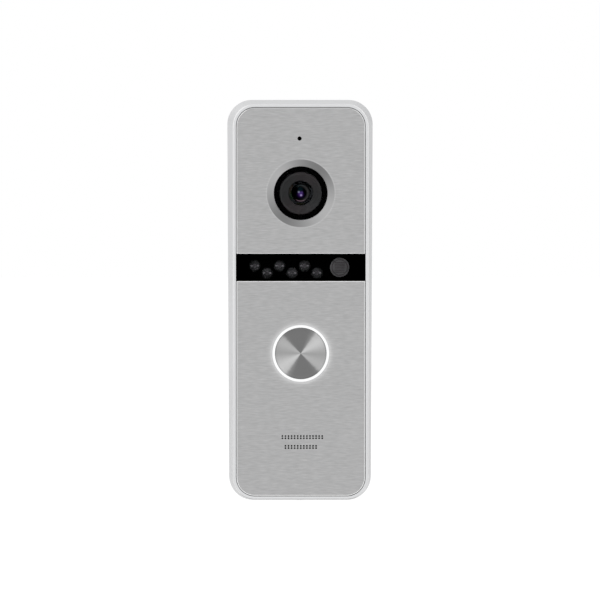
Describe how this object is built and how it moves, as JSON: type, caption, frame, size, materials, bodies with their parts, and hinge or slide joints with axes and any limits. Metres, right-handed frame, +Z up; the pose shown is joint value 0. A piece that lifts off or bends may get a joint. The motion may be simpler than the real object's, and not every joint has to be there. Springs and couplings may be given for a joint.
{
  "type": "video door station",
  "caption": "Slim wall-mounted video door station: brushed face plates, camera, infrared window, lit call button, speaker grille and a steel wall bracket.",
  "frame": {"origin": "on the wall plane, behind the middle of the body and midway between the wall slots", "axes": "+Z up, +Y into the wall; the front faces -Y"},
  "size_m": [0.052, 0.023, 0.143],
  "materials": {
    "casing_silver": "satin silver-white paint on a zinc casting",
    "brushed_plate": "fine horizontal brushing, clear anodised",
    "tape_white": "foam mounting tape",
    "window_acrylic": "polished black acrylic that passes infrared",
    "cover_glass": "polished, coated",
    "mask_black": "dead black",
    "lens_black": "black anodised, satin",
    "lens_glass": "multi-coated, violet reflection",
    "moulded_black": "fine moulded texture",
    "sensor_face": "iridescent sensor under glass",
    "board_green": "solder mask on glass fibre",
    "diode_resin": "smoky clear resin",
    "photocell": "resin-covered cell with a serpentine track",
    "nylon_white": "natural nylon",
    "turned_cap": "spun with a circular grain",
    "ring_diffuser": "translucent, lit white from behind",
    "spring_steel": "drawn wire",
    "mesh_black": "fine woven dust mesh",
    "rubber_black": "matt",
    "zinc_steel": "bright zinc",
    "cone_film": "thin formed film",
    "can_aluminium": "drawn can",
    "chip_black": "moulded epoxy",
    "trimmer_blue": "moulded",
    "rotor_brass": "turned",
    "cover_plastic": "dark grey, fine spark texture",
    "wire_sheath": "soft vinyl, a different colour on each wire",
    "ribbon_film": "amber film",
    "bracket_steel": "galvanised sheet"
  },
  "bodies": {
    "housing": {"board_capacitors": "can_aluminium", "board_chips": "chip_black", "board_connectors": "nylon_white", "button_light_ring": "ring_diffuser", "call_button_spring": "spring_steel", "camera_board": "board_green", "camera_board_screws": "zinc_steel", "camera_cover_glass": "cover_glass", "camera_ribbon": "ribbon_film", "diode_bezel": "mask_black", "front_casing": "casing_silver", "front_lens_element": "lens_glass", "glass_mask_ring": "mask_black", "image_sensor": "sensor_face", "infrared_board": "board_green", "infrared_board_header": "moulded_black", "infrared_board_spacers": "nylon_white", "infrared_leds": "diode_resin", "inner_lens_element": "lens_glass", "lens_barrel": "lens_black", "lens_lock_ring": "lens_black", "lens_mount": "moulded_black", "lens_stop": "mask_black", "light_sensor": "photocell", "locking_screw": "zinc_steel", "lower_face_plate": "brushed_plate", "main_board": "board_green", "main_board_screws": "zinc_steel", "microphone_boot": "rubber_black", "microphone_capsule": "can_aluminium", "microphone_wires": "wire_sheath", "mounting_bracket": "bracket_steel", "pigtail_plug": "nylon_white", "pigtail_wires": "wire_sheath", "plate_adhesive": "tape_white", "rear_cover": "cover_plastic", "rear_cover_screws": "zinc_steel", "rear_cover_seal": "rubber_black", "ring_leds": "nylon_white", "sensor_window": "window_acrylic", "speaker_cone": "cone_film", "speaker_frame": "zinc_steel", "speaker_gasket": "rubber_black", "speaker_magnet": "zinc_steel", "speaker_mesh": "mesh_black", "speaker_wires": "wire_sheath", "switch_body": "moulded_black", "trimmer_body": "trimmer_blue", "upper_face_plate": "brushed_plate", "wire_grommet": "rubber_black"},
    "call_button": {"call_button_cap": "turned_cap", "call_button_carrier": "moulded_black"},
    "switch_plunger": {"switch_plunger": "nylon_white"},
    "trimmer_rotor": {"trimmer_rotor": "rotor_brass"}
  },
  "joints": [
    {"name": "call_button_press", "type": "slide", "parent": "housing", "child": "call_button", "axis": [0, 1, 0], "range_m": [0, 0.0008], "deforming": ["call_button_spring"]},
    {"name": "switch_plunger_press", "type": "slide", "parent": "housing", "child": "switch_plunger", "axis": [0, 1, 0], "range_m": [0, 0.0008]},
    {"name": "volume_trimmer_turn", "type": "hinge", "parent": "housing", "child": "trimmer_rotor", "pos_m": [0.0045, -0.0073, -0.007], "axis": [0, -1, 0], "range_deg": [-135, 135]}
  ],
  "couplings": [
    {"joint": "switch_plunger_press", "follows": "call_button_press", "ratio": 1}
  ]
}
